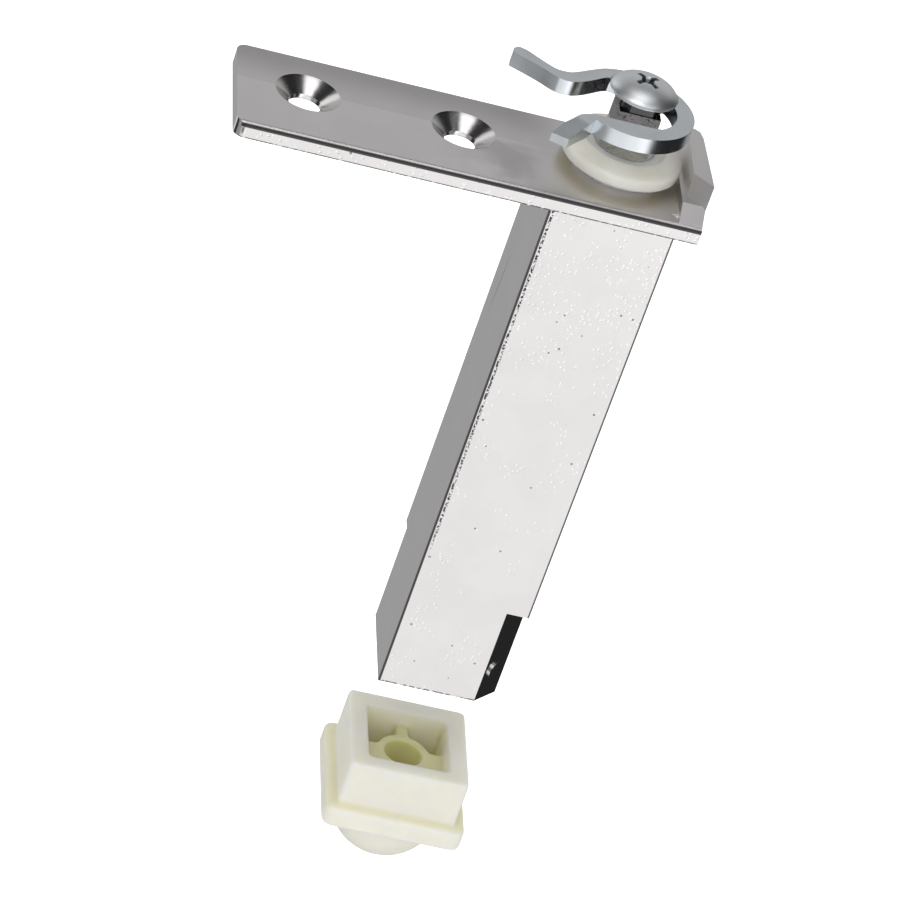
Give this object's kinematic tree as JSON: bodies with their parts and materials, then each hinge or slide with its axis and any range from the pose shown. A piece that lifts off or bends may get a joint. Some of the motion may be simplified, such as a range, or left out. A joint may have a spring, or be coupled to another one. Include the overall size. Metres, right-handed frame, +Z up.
{
  "type": "spring hinge cartridge",
  "caption": "Self-closing door hinge cartridge: screw plate with square barrel, nylon disc bearing, sprung hook lever on top and a loose square nylon pivot bushing below.",
  "frame": {"origin": "on the pivot axis, in the plane of the plate's underside", "axes": "+Z up the pivot axis to the hook lever, +X along the plate from its screw holes to its end lip, +Y to the back"},
  "size_m": [0.0924, 0.0404, 0.1928],
  "materials": {
    "zinc_casting": "satin plated die casting",
    "plug_steel": "turned",
    "pin_steel": "polished end",
    "bearing_nylon": "natural nylon",
    "washer_steel": "plain",
    "spindle_steel": "dark turned steel with sawn end",
    "driver_steel": "turned",
    "key_steel": "plain",
    "spring_wire": "oiled wire",
    "lever_zinc": "zinc plated stamping",
    "screw_zinc": "zinc plated",
    "bushing_nylon": "natural nylon, slightly translucent"
  },
  "bodies": {
    "casting": {"housing": "zinc_casting", "anchor_plug": "plug_steel", "anchor_pin": "pin_steel", "top_bearing": "bearing_nylon", "thrust_washer": "washer_steel", "torsion_spring": "spring_wire"},
    "lever": {"spindle": "spindle_steel", "spring_driver": "driver_steel", "driver_pin": "key_steel", "hook_lever": "lever_zinc", "lever_screw": "screw_zinc"},
    "bushing": {"door_bushing": "bushing_nylon"}
  },
  "joints": [
    {"name": "lever_swing", "type": "hinge", "parent": "casting", "child": "lever", "pos_m": [0, 0, 0], "axis": [0, 0, 1], "range_deg": [0, 120], "stiffness_Nm_per_rad": 0.2, "deforming": ["torsion_spring"]},
    {"name": "bushing_lift", "type": "slide", "parent": "casting", "child": "bushing", "axis": [0, 0, 1], "range_m": [0, 0.02]}
  ]
}
